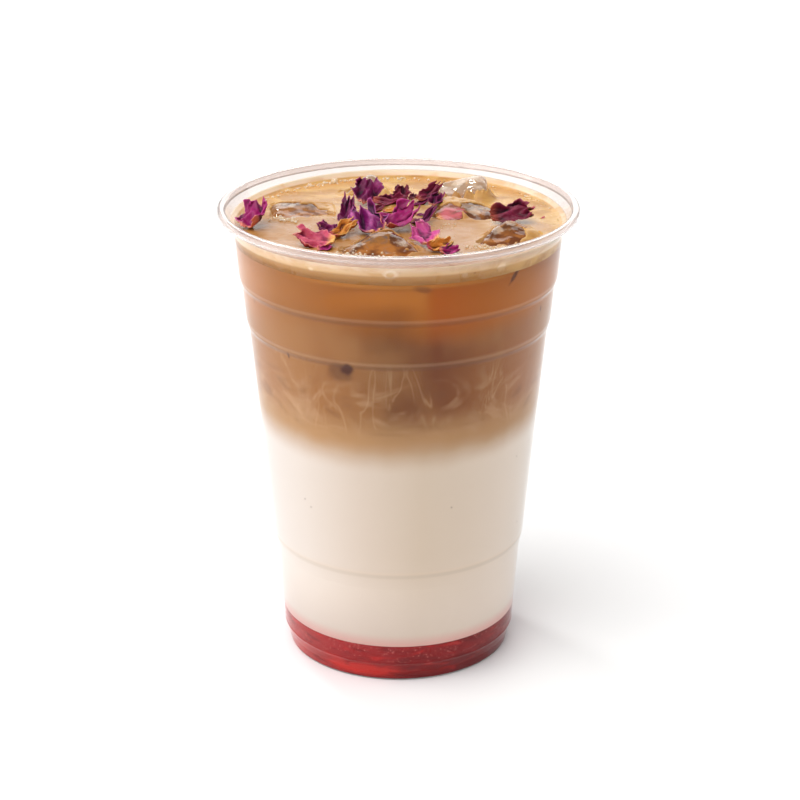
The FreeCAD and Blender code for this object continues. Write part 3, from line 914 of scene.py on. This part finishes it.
def petal_finish(kind):
    """Dry petal skin: veins along it, painted shade in the folds and painted light on their ridges, pale at
    the rim, and its claw.
    """
    dark, body, pale, claw = [shade(*colour) for colour in PETAL_COLOURS[kind]]
    petal = Finish(kind + " petal")
    along, across, _ = petal.parts(petal.node("UVMap", uv_map="petal").outputs["UV"])
    fold, _, _ = petal.parts(petal.node("UVMap", uv_map="fold").outputs["UV"])
    fan = petal.node("CombineXYZ", [(0, petal.times(across, 26.0)), (1, petal.times(along, 3.0))])
    veins = petal.cloud(fan.outputs[0], detail=4.0, distortion=0.4)
    blotch = petal.cloud(petal.stretch((0.35, 0.35, 0.35)))
    # Painted shade in the folds and painted light on their ridges, broken up by blotches
    lit = petal.math("ADD", fold, petal.sway(blotch, 1.0))
    colour = petal.mix(petal.fade(lit, 0.18, 0.55), dark, body)
    colour = petal.mix(petal.fade(lit, 0.70, 1.05, 0.0, 0.7), colour, pale)
    colour = petal.mix(petal.fade(veins, 0.50, 0.72, 0.0, 0.22), colour, pale)
    side = petal.fade(petal.apart(across, 0.5), 0.465, 0.5)
    rim = petal.math("MAXIMUM", side, petal.fade(along, 0.965, 1.0))
    colour = petal.mix(petal.times(rim, 0.65), colour, pale)
    colour = petal.mix(petal.fade(along, 0.26, 0.02), colour, claw)
    petal.set(Base_Color=colour, Roughness=0.5, Specular_IOR_Level=0.35, Subsurface_Weight=0.12,
              Subsurface_Scale=0.5 * MM)
    petal.bump(veins, 0.10 * MM, 0.8)
    return petal.material


def pleat(turns):
    """A sharp wave between -1 and 1."""
    return abs((turns % 1) * 4 - 2) - 1


def petal_point(value, along, across, seed):
    """Point of a petal's upper face in millimetres, and how high its fold stands, 0 to 1."""
    # A narrow claw, a broad blade and a ragged side
    half_width = 0.54 * value["width"] * math.sin(math.pi * (0.10 + 0.75 * along)) ** 0.7
    half_width *= 1 + 0.20 * pleat(along * 1.9 + 0.61 * seed + 0.2 * math.copysign(1, across))
    half_width *= 1 + 0.16 * noise.noise(Vector((along * 12, seed, across)))

    # Pleats that fan out from the claw, creases across them, fine crumples and a frilled edge
    size = min(1.0, value["width"] / FULL_WIDTH)
    drift = 0.5 * noise.noise(Vector((along * 2, seed, 4)))
    pleats = pleat(across * 0.95 + 0.3 * seed + drift) * (0.25 + 0.75 * along)
    creases = pleat(along * 1.4 + 0.5 * across + 0.7 * seed + noise.noise(Vector((across * 1.5, seed, 8))))
    fold = 0.60 * pleats + 0.40 * creases
    fine = 0.30 * noise.noise(Vector((along * 7, across * 6, seed)))
    flare = noise.noise(Vector((along * 4, math.copysign(3, across), seed)))
    edge = 2.4 * size * max(0.0, abs(across) - 0.6) * flare
    crumple = value.get("crumple", 1.0) * (size * (1.35 * fold + fine) + edge)

    # Cupped across, and curled along to the torn points of its tip
    cup_angle = math.radians(value["cupping"]) / 2 * (1 + 0.4 * abs(across))
    sideways = half_width * math.sin(cup_angle * across) / cup_angle
    dish = half_width * (1 - math.cos(cup_angle * across)) / cup_angle
    points = pleat(across * 1.25 + 0.37 * seed)
    torn = 0.20 * points * along + 0.10 * noise.noise(Vector((across * 7, seed, 2)))
    length = 1.06 * value["length"] * (1 + torn)
    bend = math.radians(value["curl"])
    turned_by = bend * (along - 0.5)
    forward = length * math.sin(turned_by) / bend
    lift = length * (1 - math.cos(turned_by)) / bend
    return Vector((forward, sideways, lift + dish + crumple)), 0.5 + 0.5 * fold


def petal_mesh(value, seed, steps_along=46, steps_across=38):
    """A petal, standing where it lies in the plan, with its two maps."""
    shape = bmesh.new()
    petal_map = shape.loops.layers.uv.new("petal")
    fold_map = shape.loops.layers.uv.new("fold")
    tilt = Euler([math.radians(value[field]) for field in ("roll", "pitch", "turn")], "XYZ")
    grid = []
    marks = {}
    for i in range(steps_along + 1):
        line = []
        for j in range(steps_across + 1):
            along, across = i / steps_along, 2 * j / steps_across - 1
            point, fold = petal_point(value, along, across, seed)
            point.rotate(tilt)
            vertex = shape.verts.new(point * MM)
            marks[vertex] = ((along, 0.5 + 0.5 * across), (fold, 0.5))
            line.append(vertex)
        grid.append(line)
    for i in range(steps_along):
        for j in range(steps_across):
            face = shape.faces.new((grid[i][j], grid[i + 1][j], grid[i + 1][j + 1], grid[i][j + 1]))
            for loop in face.loops:
                loop[petal_map].uv, loop[fold_map].uv = marks[loop.vert]
    return shape


def lay(shape, x, y, lowest):
    """Moves a petal to its place in the plan, with its lowest point at a height."""
    drop = lowest - min(vertex.co.z for vertex in shape.verts)
    bmesh.ops.translate(shape, verts=shape.verts, vec=(x * MM, y * MM, drop))


def give_thickness(piece):
    """Makes a sheet of the petals' thickness from a piece's single faces."""
    sheet = piece.modifiers.new("sheet", "SOLIDIFY")
    sheet.thickness = PETAL_SHEET


petal_materials = {kind: petal_finish(kind) for kind in PETAL_COLOURS}
for number, row in enumerate(PETALS, 1):
    value = dict(zip(PETAL_FIELDS, row))
    node = f"petal_{number}"
    shape = petal_mesh(value, number * PETAL_SEEDS)
    lay(shape, value["x"], value["y"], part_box(node)[0].z)
    piece = new_piece(node.replace("petal", "rose_petal"), shape)
    give_thickness(piece)
    piece.data.materials.append(petal_materials[value["kind"]])
    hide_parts(node)
    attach(piece, "root")


# ---- The crumbs ------------------------------------------------------
# Torn scraps of petal, a few millimetres long, that fell on the foam between the whole ones,
# and one petal that froze in under the skin of a cube.

SUNK_X, SUNK_Y, SUNK_FOOT = 13.8, 4.6, 119.6 * MM
SUNK_SEED = 31.0
SCRAP_SEEDS = 2.3
SCRAP_SINK = 0.1 * MM
SUNK = {"length": 7.0, "width": 5.6, "turn": 20, "pitch": -4, "roll": 6, "cupping": 20, "curl": 15,
        "crumple": 0.15}
shape = petal_mesh(SUNK, SUNK_SEED, 24, 20)
lay(shape, SUNK_X, SUNK_Y, SUNK_FOOT)
sunk_piece = new_piece("sunk_petal", shape)
give_thickness(sunk_piece)
sunk_piece.data.materials.append(petal_materials["rosy"])
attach(sunk_piece, "root")

SCRAPS = [  # x, y, length, width, turn, kind
    (-20.4, -2.6, 1.6, 1.0, 20, "magenta"),
    (-18.6, -25.4, 3.4, 2.6, 8, "magenta"),
    (35.6, 10.4, 2.6, 0.7, 60, "pink"),
    (38.0, 2.6, 1.4, 0.5, 50, "pink"),
    (-13.6, 17.2, 1.2, 0.7, 70, "amber"),
    (-2.2, 4.2, 3.6, 1.6, 10, "amber"),
    (4.4, 13.6, 3.2, 1.4, -30, "purple"),
    (-4.6, 12.8, 3.4, 1.6, 30, "amber"),
    (3.8, 21.6, 3.0, 1.8, 60, "crimson"),
    (-1.6, -3.4, 3.8, 2.2, 80, "violet"),
    (-12.4, 8.6, 3.6, 1.4, 110, "purple"),
    (6.0, 4.4, 3.0, 1.2, -10, "purple"),
    (-16.4, -7.4, 2.6, 1.3, 60, "purple"),
    (4.8, -13.2, 3.4, 1.6, -24, "magenta"),
    (-3.6, -1.6, 5.0, 2.8, 14, "violet"),
    (-9.6, 2.0, 4.2, 2.2, 100, "purple"),
    (1.4, 1.6, 5.2, 2.2, -34, "crimson"),
    (-5.8, 6.2, 4.0, 2.2, 40, "crimson"),
    (4.6, -2.4, 4.4, 2.4, -60, "purple"),
    (6.4, 15.4, 4.0, 2.0, 20, "purple"),
    (-2.6, 15.8, 3.4, 1.8, 0, "amber"),
    (-3.4, -13.4, 3.6, 2.0, 20, "violet"),
]
scrap_kinds = list(PETAL_COLOURS)
scraps_shape = bmesh.new()
for number, (x, y, length, width, turn, kind) in enumerate(SCRAPS, 1):
    value = {"length": length, "width": width, "turn": turn, "pitch": -8, "roll": 10,
             "cupping": 70, "curl": 50}
    shape = petal_mesh(value, number * SCRAP_SEEDS, 16, 12)
    lay(shape, x, y, surface_height(x * MM, y * MM) - SCRAP_SINK)
    for face in shape.faces:
        face.material_index = scrap_kinds.index(kind)
    scrap = bpy.data.meshes.new("scrap")
    shape.to_mesh(scrap)
    shape.free()
    scraps_shape.from_mesh(scrap)
    bpy.data.meshes.remove(scrap)
scraps_piece = new_piece("petal_scraps", scraps_shape)
give_thickness(scraps_piece)
for kind in scrap_kinds:
    scraps_piece.data.materials.append(petal_materials[kind])
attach(scraps_piece, "root")


# ---- Table, light and camera -----------------------------------------
# A plain white table under soft studio light: a large window on the left, one behind and a
# weaker one on the right, a small bright lamp for the glints on ice, and a bright ceiling.

TABLE_HALF = 3.0  # metres, as are the places below
LAMPS = [  # name, place, size, power in watts
    ("left_window", (-0.72, -0.10, 0.38), 0.7, 2.9),
    ("right_window", (0.80, 0.25, 0.34), 0.6, 1.0),
    ("back_window", (0.10, 0.85, 0.50), 0.7, 2.4),
    ("glint", (-0.28, 0.42, 0.62), 0.10, 1.0),
]
OBJECT_MIDDLE = Vector((0, 0, RIM_HEIGHT / 2))
CAMERA_PLACE = (0.0004, -0.5494, 0.2835)
CAMERA_LOOKS_DOWN = math.radians(21.293)

corners = [(-TABLE_HALF, -TABLE_HALF, 0), (TABLE_HALF, -TABLE_HALF, 0),
           (TABLE_HALF, TABLE_HALF, 0), (-TABLE_HALF, TABLE_HALF, 0)]
table_mesh = bpy.data.meshes.new("table")
table_mesh.from_pydata(corners, [], [(0, 1, 2, 3)])
table = placed("table", table_mesh)
tabletop = Finish("white table")
tabletop.set(Base_Color=(0.86, 0.86, 0.86, 1), Roughness=0.6)
table_mesh.materials.append(tabletop.material)

# Soft square lamps, turned towards the cup
for name, place, size, power in LAMPS:
    lamp = bpy.data.lights.new(name, "AREA")
    lamp.shape = "SQUARE"
    lamp.size = size
    lamp.energy = power
    holder = placed(name, lamp)
    holder.location = place
    holder.rotation_mode = "QUATERNION"
    holder.rotation_quaternion = (OBJECT_MIDDLE - Vector(place)).to_track_quat("-Z", "Y")

ceiling = bpy.data.lights.new("ceiling", "SUN")
ceiling.energy = 2.3
ceiling.angle = math.radians(50)
ceiling_holder = placed("ceiling", ceiling)
ceiling_holder.rotation_euler = (math.radians(20), math.radians(-15), 0)

world = bpy.data.worlds.new("studio")
world.use_nodes = True
surroundings = world.node_tree.nodes["Background"].inputs
surroundings["Color"].default_value = (1, 1, 1, 1)
surroundings["Strength"].default_value = 0.34
scene = bpy.context.scene
scene.world = world

lens = bpy.data.cameras.new("camera")
lens.lens = 98
lens.sensor_width = 36
lens.clip_start = 0.01
camera = placed("camera", lens)
camera.location = CAMERA_PLACE
camera.rotation_euler = (math.pi / 2 - CAMERA_LOOKS_DOWN, 0, 0)
scene.camera = camera
scene.view_settings.view_transform = "Standard"
scene.cycles.caustics_refractive = False
scene.cycles.caustics_reflective = False
